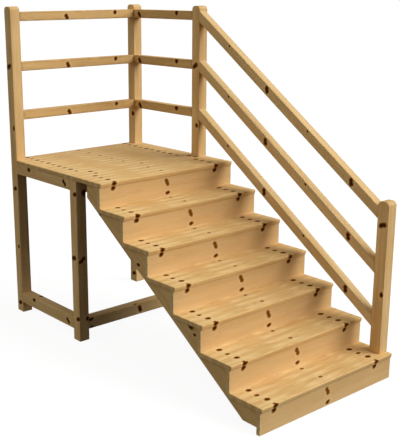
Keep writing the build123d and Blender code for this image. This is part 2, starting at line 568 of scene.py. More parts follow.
# A face shows the knot that is nearest to it, so a timber is cut between its knots, where two of
# them are further apart than this along it or across it
KNOT_CLEARANCE = 0.05
LANE_CLEARANCE = 0.018

# An axis of a timber is a knot's way across where the two agree by more than this
SAME_WAY = 0.9

# What a face without a knot and a board without a deck board's pattern carry
NO_KNOT = (9.0, 9.0, 0.0)
NO_PLANK = (0.0, 0.0, 0.0)

# A face is sawn end grain where it looks this much along the timber
END_GRAIN = 0.75

# Steps of a rounding, those of a wide one, and the radius past which it is wide
ARC_STEPS = 3
ROUND_STEPS = 8
WIDE_ROUNDING = 0.006

# An uneven rounding bows less than an ellipse, by this power. Two roundings above each other
# take at most this share of the height.
UNEVEN_BOW = 1.6
ROUNDED_SHARE = 0.98

# Easing of ends that meet another timber, and of the ends of the risers
BUTT_EASE = 0.0005
RISER_END_EASE = 0.0015

# A knot's place across its face is counted towards the back and upwards
COUNTED_TOWARDS = Y + 1.5 * Z + 0.1 * X

# Length of the log that boards are cut from, and how far its pith strays from the place given
LOG_LENGTH = 40.0
PITH_STRAY = 0.012


class Lay:
    """How a timber lies: the point where it starts, its length direction and one side of it."""

    def __init__(self, start, along, side):
        self.axes = (along, side, along.cross(side))
        self.turn = Matrix(self.axes).transposed()
        self.matrix = Matrix.Translation(start) @ self.turn.to_4x4()


def upright(x, y, z):
    return Lay(Vector((x, y, z)), Z, X)


def crosswise(x, y, z):
    return Lay(Vector((x, y, z)), X, Y)


def lengthwise(x, y, z):
    return Lay(Vector((x, y, z)), Y, -X)


class Knot:
    """A knot that shows on one face of a timber, or on two that lie opposite each other.

    at is its place along the timber and across its place on the face from the middle, towards the
    back or up. long and wide are its half sizes before it turns by turn degrees from the grain.
    dark is how dark it is, with 1 added for a knot of two branches that run together.
    """

    def __init__(self, at, across, faces, long, wide, turn=0.0, dark=0.85):
        self.at = at
        self.across = across
        self.faces = faces.split()
        self.long = long
        self.wide = wide
        self.turn = math.radians(turn)
        self.dark = dark

    def settle(self, lay):
        """Works out in which of the timber's own axes the knot's place across is counted."""
        outward = SIDES[self.faces[0]]
        side, up = lay.axes[1:]
        across = Vector((-outward.dot(up), outward.dot(side)))
        if (side * across.x + up * across.y).dot(COUNTED_TOWARDS) < 0:
            across = -across
        self.side_on = across

    def place(self, point):
        """Place of a point across the knot, where 1 is the rim."""
        a = point[0] - self.at
        b = point[1] * self.side_on.x + point[2] * self.side_on.y - self.across
        cos, sin = math.cos(self.turn), math.sin(self.turn)
        return (a * cos + b * sin) / self.long, (b * cos - a * sin) / self.wide

    def distance(self, point):
        a, b = self.place(point)
        return math.hypot(a * self.long, b * self.wide)


def quarter(steps, begin=0.0):
    """Cosine and sine of the turns of a quarter circle that begins at the given degrees."""
    turns = (math.radians(begin + 90 * i / steps) for i in range(steps + 1))
    return [(math.cos(turn), math.sin(turn)) for turn in turns]


def section(low_v, high_v, low_w, high_w, radii):
    """Rounded section of a timber as points, counted from the low corner.

    radii has four values; a corner that is rounded unevenly has a pair, its width and its height.
    Heights that don't fit above each other are made smaller.
    """
    points = []
    corners = ((low_v, low_w, 180), (high_v, low_w, 270), (high_v, high_w, 0), (low_v, high_w, 90))
    pairs = [radius if isinstance(radius, tuple) else (radius, radius) for radius in radii]
    taken = max(pairs[0][1] + pairs[3][1], pairs[1][1] + pairs[2][1])
    fit = min(1.0, ROUNDED_SHARE * (high_w - low_w) / taken)
    for (v, w, begin), (wide, tall) in zip(corners, pairs):
        bow = 1.0 if wide == tall else UNEVEN_BOW
        tall *= fit
        centre_v = v + wide if v == low_v else v - wide
        centre_w = w + tall if w == low_w else w - tall
        for turn in quarter(ROUND_STEPS if wide > WIDE_ROUNDING else ARC_STEPS, begin):
            out, up = (math.copysign(abs(part) ** bow, part) for part in turn)
            points.append((centre_v + wide * out, centre_w + tall * up))
    return points


def swept(stations, shear=0.0):
    """Closed mesh through sections placed along a timber. shear leans both ends in the depth."""
    bm = bmesh.new()
    rings = []
    for at, points in stations:
        rings.append([bm.verts.new((at + w * shear, v, w)) for v, w in points])
    close_rings(bm, rings)
    return bm


def close_rings(bm, rings):
    """Adds the faces between rings that have the same number of points, and over both ends."""
    count = len(rings[0])
    for first, second in zip(rings, rings[1:]):
        for i in range(count):
            j = (i + 1) % count
            bm.faces.new((first[i], first[j], second[j], second[i]))
    bm.faces.new(rings[0][::-1])
    bm.faces.new(rings[-1])
    bmesh.ops.recalc_face_normals(bm, faces=bm.faces)


def eased_bar(run, size, radii, start=0.002, finish=0.002, shear=0.0, side_finish=None):
    """Straight bar with rounded long edges and both ends rounded over by their own radius.

    side_finish is the rounding of the far end at the sides of the bar, where it isn't finish.
    """
    half_v, half_w = size[0] / 2, size[1] / 2
    side_finish = finish if side_finish is None else side_finish
    turns = quarter(ROUND_STEPS if finish > WIDE_ROUNDING else ARC_STEPS)

    def ring(at, inset_v, inset_w):
        low_v, high_v = -half_v + inset_v, half_v - inset_v
        return at, section(low_v, high_v, -half_w + inset_w, half_w - inset_w, radii)

    near = [ring(start * (1 - sin), start * (1 - cos), start * (1 - cos)) for cos, sin in turns]
    far = [
        ring(run - finish * (1 - sin), side_finish * (1 - cos), finish * (1 - cos))
        for cos, sin in turns
    ]
    return swept(near[::-1] + far, shear)


def cut(bm, axis, place):
    """Cuts the mesh at a place on one of its axes, and keeps both sides."""
    point, normal = Vector(), Vector()
    point[axis], normal[axis] = place, 1.0
    geometry = bm.verts[:] + bm.edges[:] + bm.faces[:]
    bmesh.ops.bisect_plane(bm, geom=geometry, plane_co=point, plane_no=normal, dist=1e-5)


def in_fixed_order(bm):
    """The same mesh with its points and faces sorted, as a bevel's order changes between runs."""
    places = sorted(tuple(vert.co) for vert in bm.verts)
    rank = {place: i for i, place in enumerate(places)}
    loops = []
    for face in bm.faces:
        loop = [rank[tuple(vert.co)] for vert in face.verts]
        first = loop.index(min(loop))
        loops.append(loop[first:] + loop[:first])
    bm.free()
    ordered = bmesh.new()
    verts = [ordered.verts.new(place) for place in places]
    for loop in sorted(loops):
        ordered.faces.new([verts[i] for i in loop])
    ordered.normal_update()
    return ordered


def extent(bm):
    """Lowest and highest corner of a mesh in its own axes."""
    points = [v.co for v in bm.verts]
    return [tuple(pick(p[i] for p in points) for i in range(3)) for pick in (min, max)]


def gaps(places, clearance):
    """Middles between neighbouring places that are more than the clearance apart."""
    ordered = sorted(places)
    return [(a + b) / 2 for a, b in zip(ordered, ordered[1:]) if b - a > clearance]


def cut_between_knots(bm, knots):
    """Cuts a board so that each of its knots has faces of its own."""
    for place in gaps([knot.at for knot in knots], KNOT_CLEARANCE):
        cut(bm, 0, place)
    for axis in (1, 2):
        lanes = [knot.across for knot in knots if abs(knot.side_on[axis - 1]) > SAME_WAY]
        for place in gaps(lanes, LANE_CLEARANCE):
            cut(bm, axis, place)


def shown_knot(knots, face, lay):
    """The knot that a face shows, or None."""
    outward = lay.turn @ face.normal
    side = max(SIDES, key=lambda name: SIDES[name].dot(outward))
    shown = [knot for knot in knots if side in knot.faces]
    middle = face.calc_center_bounds()
    return min(shown, key=lambda knot: knot.distance(middle), default=None)


def near_edge(point, low, high, bands, band):
    """1 on an arris of a board and 0 past the band of its rubbed edges, which are partly painted
    highlight on boards that aren't handled.
    """
    near = sorted(min(point[i] - low[i], high[i] - point[i]) for i in bands)
    return max(0.0, 1.0 - near[1] / band) if near else 0.0


class Piece:
    """Collects the boards of one piece, with the attributes that the pine material reads."""

    def __init__(self, name, material):
        self.name = name
        self.material = material
        self.rng = random.Random(f"{name} {bpy.context.scene.stairs_wood.seed}")
        self.points, self.faces = [], []
        self.grain, self.plank, self.knots, self.finish, self.soak = [], [], [], [], []

    def add(
        self,
        bm,
        lay,
        knots=(),
        pith=(0.0, -0.05),
        tone=0.03,
        bands=(0, 1, 2),
        band=EDGE_BAND,
        soaked=0.0,
        plank=None,
    ):
        """Adds one board.

        pith is where the middle of its log lies from the middle of the board, and tone is how much
        paler or darker than the others the board may be. bands are the axes whose ends have rubbed
        edges, pale with painted highlight too where the board isn't handled, and band is how far
        they reach. The next argument is how far down from its upper edge the board is darkened by
        painted shade, the shade under a nosing. plank is where a deck board's own pattern starts,
        along it and across it.
        """
        low, high = extent(bm)
        for knot in knots:
            knot.settle(lay)
        cut_between_knots(bm, knots)
        for axis in bands:
            if high[axis] - low[axis] > 3 * band:
                cut(bm, axis, low[axis] + band)
                cut(bm, axis, high[axis] - band)
        if soaked:
            cut(bm, 2, high[2] - soaked)
        offset = self.rng.uniform(0.0, LOG_LENGTH)
        stray = [self.rng.uniform(-PITH_STRAY, PITH_STRAY) for _ in pith]
        pith = Vector((-offset, *pith)) + Vector((0, *stray))
        board_tone = self.rng.uniform(1 - tone, 1 + tone)
        start = len(self.points)
        bm.verts.index_update()
        for vert in bm.verts:
            along, across, _ = vert.co
            self.points.append(lay.matrix @ vert.co)
            self.grain.append(vert.co - pith)
            self.plank.append((along - plank[0], across - plank[1], 1.0) if plank else NO_PLANK)
        for face in bm.faces:
            self.faces.append([start + v.index for v in face.verts])
            knot = shown_knot(knots, face, lay)
            end = 1.0 if abs(face.normal.x) > END_GRAIN else 0.0
            for vert in face.verts:
                self.knots.append((*knot.place(vert.co), knot.dark) if knot else NO_KNOT)
                self.finish.append((near_edge(vert.co, low, high, bands, band), end, board_tone))
                # Painted shade over the top of the board, standing in for the shade under a nosing
                shaded = max(0.0, 1 - (high[2] - vert.co.z) / soaked) if soaked else 0.0
                self.soak.append((shaded, 0.0, 0.0))
        bm.free()

    def finish_object(self, slot, *nodes):
        """Makes the object, gives it its material and sets it in the place of its CAD nodes."""
        mesh = bpy.data.meshes.new(self.name)
        mesh.from_pydata(self.points, [], self.faces)
        for label, domain, values in (
            ("grain", "POINT", self.grain),
            ("plank", "POINT", self.plank),
            ("knot", "CORNER", self.knots),
            ("finish", "CORNER", self.finish),
            ("soak", "CORNER", self.soak),
        ):
            layer = mesh.attributes.new(label, "FLOAT_VECTOR", domain)
            layer.data.foreach_set("vector", [c for value in values for c in value])
        mesh.shade_smooth()
        mesh.materials.append(self.material)
        made = bpy.data.objects.new(self.name, mesh)
        bpy.context.scene.collection.objects.link(made)
        made.modifiers.new("Even normals", "WEIGHTED_NORMAL").weight = 80
        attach(made, BODY)
        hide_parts(*nodes)


def hidden_knots(rng, run, faces, section_half):
    """Knots for faces turned away, a branch every 0.4 to 0.5 m, some large and some small."""
    knots, at = [], 0.2 + rng.uniform(-0.1, 0.1)
    while at < run - 0.05:
        big = rng.random() < 0.5
        size = rng.uniform(0.013, 0.018) if big else rng.uniform(0.006, 0.010)
        across = rng.uniform(-0.5, 0.5) * section_half
        turn = rng.uniform(-60, 60)
        for face in faces.split():
            if rng.random() < 0.7:
                dark = rng.uniform(0.5, 0.95)
                knots.append(Knot(at, across, face, size * 1.2, size * 0.8, turn, dark))
        at += rng.uniform(0.40, 0.50)
    return knots


# ---------------------------------------------------------------------------------------------
# Places read from the frame
# ---------------------------------------------------------------------------------------------


def span(node):
    """Lowest and highest corner of a node, its middle and its size."""
    low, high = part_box(node)
    return low, high, (low + high) / 2, high - low


def flight():
    """Rise over going, slanting length over going, and the direction up along the flight."""
    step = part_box("tread_2")[1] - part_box("tread_1")[1]
    slope = step.z / step.y
    slant = math.hypot(1.0, slope)
    return slope, slant, Vector((0, 1, slope)) / slant


# ---------------------------------------------------------------------------------------------
# Pieces
# ---------------------------------------------------------------------------------------------


def level_timber(node, name, slot, material, ease, knots, hidden="", end=BUTT_EASE, **looks):
    """Builds the piece of one level timber. hidden names faces that get knots of their own."""
    low, _, centre, size = span(node)
    if size.x > size.y:
        lay, run, thick = crosswise(low.x, centre.y, centre.z), size.x, size.y
    else:
        lay, run, thick = lengthwise(centre.x, low.y, centre.z), size.y, size.x
    piece = Piece(name, material)
    if hidden:
        knots = [*knots, *hidden_knots(piece.rng, run, hidden, size.z / 2)]
    piece.add(eased_bar(run, (thick, size.z), [ease] * 4, end, end), lay, knots, **looks)
    piece.finish_object(slot, node)


POST_KNOTS = {
    "back_left_post": (
        Knot(1.893, 0.003, "left", 0.030, 0.017, -58, 1.9),
        Knot(1.443, -0.022, "left", 0.019, 0.011, 0, 0.95),
        Knot(0.982, -0.002, "left", 0.0155, 0.024, 20, 0.95),
        Knot(0.528, -0.015, "left", 0.014, 0.012, 0, 0.95),
        Knot(0.071, -0.001, "left", 0.0165, 0.025, 20, 0.95),
    ),
    "back_right_post": (
        Knot(1.452, -0.018, "left", 0.020, 0.0165, 0, 0.95),
        Knot(0.986, 0.004, "left", 0.016, 0.015, 20),
        Knot(0.071, -0.008, "left", 0.0160, 0.027, 20, 0.95),
    ),
    "front_right_post": (
        Knot(1.886, 0.002, "left", 0.030, 0.0165, -45, 1.95),
        Knot(1.442, -0.018, "left", 0.016, 0.0155, 0, 0.95),
        Knot(0.986, 0.0, "front", 0.016, 0.014, 0),
    ),
    "newel_post": (
        Knot(0.850, -0.003, "left", 0.028, 0.0155, -60, 1.9),
        Knot(0.399, -0.026, "left", 0.0185, 0.0120, 0, 0.95),
    ),
    "front_left_post": (
        Knot(1.079, -0.022, "left", 0.0150, 0.022, 20, 0.95),
        Knot(0.616, 0.009, "left", 0.026, 0.017, -58, 1.9),
        Knot(0.167, -0.020, "left", 0.0150, 0.0250, 30, 0.95),
        Knot(1.084, 0.024, "front", 0.024, 0.018, 0, 0.95),
        Knot(0.605, -0.004, "front", 0.030, 0.014, 60, 1.9),
        Knot(0.162, 0.028, "front", 0.016, 0.014, 0, 0.95),
    ),
}


class StairsPosts(bpy.types.Operator):
    """Builds the four landing posts and the newel"""

    bl_idname = "deck_stairs.posts"
    bl_label = "Posts"

    def execute(self, context):
        timber = context.scene.stairs_timber
        material = pine("Post Pine", POST_TINT, 0.6, 1.7, 1.6, handled=True)
        for node, knots in POST_KNOTS.items():
            low, _, centre, size = span(node)
            piece = Piece(node.replace("_post", "_timber_post"), material)
            stops_under_deck = node == "front_left_post"
            bar = eased_bar(
                size.z,
                (size.x, size.y),
                [timber.post_ease] * 4,
                timber.end_ease,
                timber.end_ease if stops_under_deck else timber.post_top,
                side_finish=timber.end_ease if stops_under_deck else timber.post_top_side,
            )
            knots = [*knots, *hidden_knots(piece.rng, size.z, "right back", size.x / 2)]
            lay = upright(centre.x, centre.y, low.z)
            piece.add(bar, lay, knots, pith=(0.03, 0.025), tone=0.02)
            piece.finish_object("post_timber", node)
        return {"FINISHED"}


# Level guard rails: the sideways place of the pith, the faces that get hidden knots, and the knots
LEVEL_RAILS = {
    "back": (
        0.05,
        "back under",
        (
            Knot(0.405, -0.010, "front", 0.023, 0.0150, -48, 1.9),
            Knot(0.857, 0.014, "front", 0.0155, 0.0150, -40, 0.95),
        ),
    ),
    "side": (
        -0.05,
        "right under",
        (
            Knot(0.625, -0.006, "left", 0.025, 0.0150, 60, 1.9),
            Knot(0.175, 0.016, "left", 0.0180, 0.0175, 90, 0.95),
        ),
    ),
}


class StairsLevelRails(bpy.types.Operator):
    """Builds the level rails at the back and the right side of the landing"""

    bl_idname = "deck_stairs.level_rails"
    bl_label = "Level Rails"

    def execute(self, context):
        timber = context.scene.stairs_timber
        material = pine("Rail Pine", RAIL_TINT, 0.5, 1.2, 2.4, handled=True)
        for height in RAIL_HEIGHTS:
            for side, (pith, hidden, knots) in LEVEL_RAILS.items():
                level_timber(
                    f"{side}_rail_{height}",
                    f"{side}_guard_rail_{height}",
                    "rail_timber",
                    material,
                    timber.rail_ease,
                    knots,
                    hidden,
                    pith=(pith, -0.02),
                    tone=0.012,
                    band=RAIL_BAND,
                )
        return {"FINISHED"}


# Knots of a sloping rail: distance below its head, place across, half sizes, turn and darkness
SLOPING_RAIL_KNOTS = (
    (0.374, 0.021, 0.010, 0.007, 0, 0.85),
    (0.838, 0.004, 0.027, 0.0155, 60, 1.9),
    (1.284, 0.021, 0.010, 0.007, 0, 0.85),
    (1.752, 0.004, 0.027, 0.0155, 60, 1.9),
)


class StairsSlopingRails(bpy.types.Operator):
    """Builds the three rails that run down beside the flight"""

    bl_idname = "deck_stairs.sloping_rails"
    bl_label = "Sloping Rails"

    def execute(self, context):
        timber = context.scene.stairs_timber
        material = pine("Stair Rail Pine", STAIR_RAIL_TINT, 0.35, 1.2, 1.6, handled=True)
        slope, slant, along = flight()
        for height in RAIL_HEIGHTS:
            node = f"stair_rail_{height}"
            low, _, centre, size = span(node)
            run, thick = size.y * slant, size.x
            foot_middle = Vector((centre.x, low.y, low.z + thick * slant / 2))
            piece = Piece(f"stair_guard_rail_{height}", material)
            knots = [
                Knot(run - below_head, across, "left", *rest)
                for below_head, across, *rest in SLOPING_RAIL_KNOTS
            ]
            knots += hidden_knots(piece.rng, run, "right under", thick / 2)
            radii = [timber.rail_ease] * 4
            piece.add(
                eased_bar(run, (thick, thick), radii, BUTT_EASE, BUTT_EASE, shear=slope),
                Lay(foot_middle, along, -X),
                knots,
                pith=(0.05, -0.03),
                tone=0.012,
                bands=(1, 2),
                band=RAIL_BAND / 2,
            )
            piece.finish_object("rail_timber", node)
        return {"FINISHED"}


GROUND_RAIL_KNOTS = {
    "left_ground_rail": (
        Knot(0.071, -0.001, "left", 0.027, 0.0125, 50, 1.9),
        Knot(0.533, 0.027, "left", 0.018, 0.017, 0, 0.95),
        Knot(0.535, 0.026, "top", 0.019, 0.013, 0, 0.95),
        Knot(0.040, 0.026, "top", 0.018, 0.014, 0, 0.9),
    ),
    "front_ground_rail": (
        Knot(0.463, 0.002, "front", 0.027, 0.016, -60, 1.9),
        Knot(0.018, 0.029, "front", 0.021, 0.013, 10, 0.95),
        Knot(0.022, -0.034, "front", 0.017, 0.012, 0, 0.95),
        Knot(0.918, -0.004, "front", 0.017, 0.014, 0),
        Knot(0.430, -0.024, "top", 0.015, 0.009, 0),
    ),
}


class StairsGroundRails(bpy.types.Operator):
    """Builds the rails between the feet of the posts"""

    bl_idname = "deck_stairs.ground_rails"
    bl_label = "Ground Rails"

    def execute(self, context):
        timber = context.scene.stairs_timber
        material = pine("Post Pine", POST_TINT, 0.6, 1.7, 1.6, handled=True)
        for node, knots in GROUND_RAIL_KNOTS.items():
            level_timber(
                node,
                f"{node}_timber",
                "rail_timber",
                material,
                timber.post_ease,
                knots,
                "back under",
                pith=(0.02, -0.03),
                tone=0.02,
            )
        return {"FINISHED"}


# Joists and bearers, with the faces that look sideways and whether they are long
FRAME_TIMBERS = {
    "left_joist": ("left right", True),
    "right_joist": ("left right", True),
    "front_joist": ("front back", True),
    "back_joist": ("front back", True),
    "inner_joist_left": ("left right", True),
    "inner_joist_right": ("left right", True),
    "front_bearer_left": ("left right", False),
    "front_bearer_right": ("left right", False),
}


class StairsDeckFrame(bpy.types.Operator):
    """Builds the joists and bearers under the landing"""

    bl_idname = "deck_stairs.deck_frame"
    bl_label = "Deck Frame"

    def execute(self, context):
        timber = context.scene.stairs_timber
        material = pine("Frame Pine", FRAME_TINT, 1.0, 1.5, handled=True)
        for node, (faces, is_long) in FRAME_TIMBERS.items():
            knots = [Knot(0.065, 0.004, faces, 0.028, 0.014, 55, 1.9)]
            if is_long:
                knots.append(Knot(0.530, 0.025, faces, 0.0205, 0.0185, 0, 0.95))
            level_timber(
                node,
                f"{node}_timber",
                "frame_timber",
                material,
                timber.frame_ease,
                knots,
                pith=(0.05, 0.02),
            )
        return {"FINISHED"}


# Knots of a deck board: place along it, row, half length, half width and darkness. Those of the
# nosing wrap round its edge, and no knot comes nearer to a joint than KNOT_TO_EDGE.
DECK_KNOTS = (
    (0.114, STRONG_ROW, 0.0190, 0.0150, 0.85),
    (1.038, STRONG_ROW, 0.0210, 0.0155, 0.85),
    (0.578, STRONG_ROW, 0.0140, 0.0105, 0.15),
    (0.108, WEAK_ROW, 0.0160, 0.0115, 0.5),
    (1.035, WEAK_ROW, 0.0185, 0.0125, 0.6),
)
NOSING_KNOTS_AT = (0.106, 1.030)
KNOT_TO_EDGE = 0.008

# How far the pattern is moved along the boards of the landing, and along the one that is notched
# round the front post
LANDING_SHIFT = 0.011
NOTCHED_SHIFT = 0.072

NARROWEST_BOARD = 0.02
NOTCH_SHOULDER = 0.001


def board_knots(rng, shift, front, wide, front_edge):
    """Knots of a deck board whose front edge lies that far behind the front edge of its pattern."""
    knots = []
    for at, row, long, short, dark in DECK_KNOTS:
        at += shift + rng.uniform(-0.002, 0.002)
        across = row - front - wide / 2 + rng.uniform(-0.0015, 0.0015)
        if abs(across) < wide / 2 - KNOT_TO_EDGE:
            knots.append(Knot(at, across, "top under", long, short, rng.uniform(-6, 6), dark))
    if front_edge:
        for at in NOSING_KNOTS_AT:
            knots.append(Knot(at + 0.003, -wide / 2 + 0.005, "top", 0.011, 0.010, 0, 0.4))
            knots.append(Knot(at + 0.009, 0.004, "front", 0.019, 0.017, 0, 0.95))
    return knots


def deck_board(timber, run, wide, thick, front_edge):
    """Board with eased edges and rounded ends; the first board of a tread has the nosing."""
    ease = timber.board_ease
    radii = [ease] * 4
    if front_edge:
        radii = [(timber.nosing_under, timber.nosing_slope), ease, ease, timber.nosing]
    return eased_bar(run, (wide, thick), radii, timber.board_end, timber.board_end)


def notched_board(timber, run, wide, thick, left_notch, right_notch, notch_depth, from_front):
    """Deck board whose corners are cut out for a post at one or both ends."""
    radii = [timber.board_ease] * 4
    half_v, half_w = wide / 2, thick / 2
    blunt = timber.board_end / 2

    def ring(at, inset=0.0, cut_back=False):
        low_v, high_v = -half_v + inset, half_v - inset
        if cut_back and from_front:
            low_v += notch_depth
        elif cut_back:
            high_v -= notch_depth
        return at, section(low_v, high_v, -half_w + inset, half_w - inset, radii)

    stations = [ring(0.0, blunt, bool(left_notch)), ring(blunt, 0.0, bool(left_notch))]
    if left_notch:
        stations += [ring(left_notch, cut_back=True), ring(left_notch + NOTCH_SHOULDER)]
    if right_notch:
        notch_at = run - right_notch
        stations += [ring(notch_at - NOTCH_SHOULDER), ring(notch_at, cut_back=True)]
    stations += [ring(run - blunt, 0.0, bool(right_notch)), ring(run, blunt, bool(right_notch))]
    return swept(stations)


def add_deck_board(piece, bar, left, front, back, height, pattern, front_edge, shift=0.0):
    """Adds a board whose edges are at front and back, with its part of the boards' pattern.

    pattern is how far the board's front edge lies behind the front edge of the pattern, and shift
    is how far the pattern is moved along the board.
    """
    wide = back - front
    lay = crosswise(left, (front + back) / 2, height)
    knots = board_knots(piece.rng, shift, pattern, wide, front_edge)
    plank = (shift, -wide / 2 - pattern)
    piece.add(bar, lay, knots, pith=(0.01, -0.06), tone=0.015, plank=plank)


class StairsTreads(bpy.types.Operator):
    """Builds the treads, each of boards laid side by side"""

    bl_idname = "deck_stairs.treads"
    bl_label = "Treads"

    def execute(self, context):
        timber = context.scene.stairs_timber
        material = pine("Deck Pine", DECK_TINT)
        for step in range(1, TREAD_COUNT + 1):
            node = f"tread_{step}"
            low, high, centre, size = span(node)
            piece = Piece(f"tread_boards_{step}", material)
            joint = low.y + timber.first_board
            for front, back, pattern in (
                (low.y, joint - timber.joint, timber.board_width - timber.first_board),
                (joint, high.y, 0.0),
            ):
                front_edge = front == low.y
                bar = deck_board(timber, size.x, back - front, size.z, front_edge)
                add_deck_board(piece, bar, low.x, front, back, centre.z, pattern, front_edge)
            piece.finish_object("tread_boards", node)
        return {"FINISHED"}


class StairsLanding(bpy.types.Operator):
    """Builds the boards of the landing, notched round the posts"""

    bl_idname = "deck_stairs.landing"
    bl_label = "Landing"

    def execute(self, context):
        timber = context.scene.stairs_timber
        material = pine("Deck Pine", DECK_TINT)
        low, high, centre, size = span("landing_deck")
        post_low, post_high, _, post_size = span("front_right_post")
        back_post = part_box("back_right_post")[0]
        post = post_size.x
        joints = [post_low.y]
        while joints[0] - timber.board_width > low.y + NARROWEST_BOARD:
            joints.insert(0, joints[0] - timber.board_width)
        while joints[-1] + timber.board_width < high.y - NARROWEST_BOARD:
            joints.append(joints[-1] + timber.board_width)
        piece = Piece("landing_boards", material)
        for front, back in zip([low.y] + joints, joints + [high.y]):
            front_edge, last = front == low.y, back == high.y
            pattern = timber.board_width - (back - front) if front_edge else 0.0
            back -= 0.0 if last else timber.joint
            wide, shift = back - front, LANDING_SHIFT
            if front == post_low.y:
                notch = post_high.y - front
                bar = notched_board(timber, size.x, wide, size.z, 0.0, post, notch, True)
                shift = NOTCHED_SHIFT
            elif last:
                notch = back - back_post.y
                bar = notched_board(timber, size.x, wide, size.z, post, post, notch, False)
            else:
                bar = deck_board(timber, size.x, wide, size.z, front_edge)
            add_deck_board(piece, bar, low.x, front, back, centre.z, pattern, front_edge, shift)
        piece.finish_object("tread_boards", "landing_deck")
        return {"FINISHED"}


# Knots of a riser: place along it, height over its lower edge, half sizes, turn and darkness
RISER_KNOTS = (
    (0.113, 0.127, 0.019, 0.0150, 25, 0.95),
    (1.034, 0.128, 0.020, 0.0155, 25, 0.95),
    (0.581, 0.100, 0.029, 0.0145, -54, 1.5),
    (0.588, 0.024, 0.019, 0.0120, 10, 0.8),
)


class StairsRisers(bpy.types.Operator):
    """Builds the boards that close the front of each step"""

    bl_idname = "deck_stairs.risers"
    bl_label = "Risers"

    def execute(self, context):
        timber = context.scene.stairs_timber
        # The pale edges of the risers are worn wood and painted light: a highlight at the ends, and
        # light thrown up from the tread at the foot
        material = pine("Riser Pine", RISER_TINT, 0.4, 0.7, 2.6)
        for step in range(1, RISER_COUNT + 1):
            node = f"riser_{step}"
            *_, size = span(node)
            knots = [
                Knot(at, up - size.z / 2, "front back", *rest) for at, up, *rest in RISER_KNOTS
            ]
            level_timber(
                node,
                f"riser_board_{step}",
                "riser_timber",
                material,
                timber.board_ease,
                knots,
                end=RISER_END_EASE,
                pith=(0.06, 0.01),
                tone=0.015,
                band=RISER_BAND,
                # Painted shade over the top of the riser, under the nosing of the tread above
                soaked=NOSING_SHADE_BAND,
            )
        return {"FINISHED"}


# Knots of a stringer, which lie level: place (y, z), half length and half height
STRINGER_KNOTS = (
    (0.226, 0.988, 0.019, 0.017),
    (-0.193, 0.737, 0.0175, 0.0115),
    (-0.702, 0.470, 0.0225, 0.019),
    (-0.735, 0.428, 0.0120, 0.009),
)


def stringer_outline(low, high, slope, drop):
    """Corners (y, z) of a stringer: its foot, the steps, its head and the straight lower edge."""
    landing_low, landing_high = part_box("landing_deck")
    lower_at_nosing = landing_high.z - drop
    corners = [(low.y, low.z)]
    for step in range(1, TREAD_COUNT + 1):
        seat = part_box(f"tread_{step}")[0].z
        corners.append((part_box(f"riser_{step}")[1].y, seat))
        corners.append((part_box(f"riser_{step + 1}")[1].y, seat))
    corners.append((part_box(f"riser_{RISER_COUNT}")[1].y, high.z))
    corners.append((high.y, high.z))
    corners.append((high.y, lower_at_nosing + (high.y - landing_low.y) * slope))
    corners.append((landing_low.y + (low.z - lower_at_nosing) / slope, low.z))
    return corners


class StairsStringers(bpy.types.Operator):
    """Builds the two stringers, cut to the steps"""

    bl_idname = "deck_stairs.stringers"
    bl_label = "Stringers"

    def execute(self, context):
        timber = context.scene.stairs_timber
        material = pine("Stringer Pine", STRINGER_TINT, 1.0, 1.5, handled=True)
        slope, _, along = flight()
        level = -math.degrees(math.atan(slope))
        for side in ("left", "right"):
            node = f"{side}_stringer"
            low, high, centre, size = span(node)
            lay = Lay(Vector((centre.x, low.y, low.z)), along, -X)
            to_board = lay.matrix.inverted()
            outline = stringer_outline(low, high, slope, timber.stringer_drop)
            corners = [to_board @ Vector((centre.x, y, z)) for y, z in outline]
            bm = bmesh.new()
            near, far = (
                [bm.verts.new((corner.x, v, corner.z)) for corner in corners]
                for v in (-size.x / 2, size.x / 2)
            )
            close_rings(bm, [far, near])
            bmesh.ops.bevel(
                bm,
                geom=bm.edges[:],
                offset=timber.frame_ease,
                segments=ARC_STEPS,
                profile=0.5,
                affect="EDGES",
            )
            knots = []
            for y, z, long, wide in STRINGER_KNOTS:
                place = to_board @ Vector((0, y, z))
                knots.append(Knot(place.x, place.z, "left right", long, wide, level, 0.95))
            piece = Piece(f"{side}_stringer_board", material)
            piece.add(in_fixed_order(bm), lay, knots, pith=(0.06, 0.2), bands=())
            piece.finish_object("stringer_timber", node)
        return {"FINISHED"}


# ---------------------------------------------------------------------------------------------
# Stage
# ---------------------------------------------------------------------------------------------

# The floor lies a hair under the posts; the fill light is a little yellow
FLOOR_RADIUS = 60.0
FLOOR_DROP = 0.0005
LAMP_DISTANCE = 8.0
FILL_BLUE = 0.89


def shows_surroundings(g):
    """1 for rays from the camera, gloss or glass, which see the white surroundings."""
    ray = g.outputs(g.node("ShaderNodeLightPath"))
    seen = g.larger(ray["Is Camera Ray"], ray["Is Glossy Ray"])
    return g.larger(seen, ray["Is Transmission Ray"])


def floor_material(stage):
    """Pale floor: white to the camera apart from soft shadows, and a calm grey to the wood."""
    material = bpy.data.materials.new("Plain Floor")
    g = emptied_graph(material)

    def matt(level):
        return g.output(g.node("ShaderNodeBsdfDiffuse", {"Color": (level, level, level)}))

    glow = {"Color": (1.0, 1.0, 1.0), "Strength": stage.floor_light}
    glow = g.output(g.node("ShaderNodeEmission", glow))
    pale = g.output(g.node("ShaderNodeAddShader", {0: matt(stage.floor_shadow), 1: glow}))
    shown = {0: shows_surroundings(g), 1: matt(stage.floor_bounce), 2: pale}
    shown = g.output(g.node("ShaderNodeMixShader", shown))
    g.node("ShaderNodeOutputMaterial", {"Surface": shown})
    return material


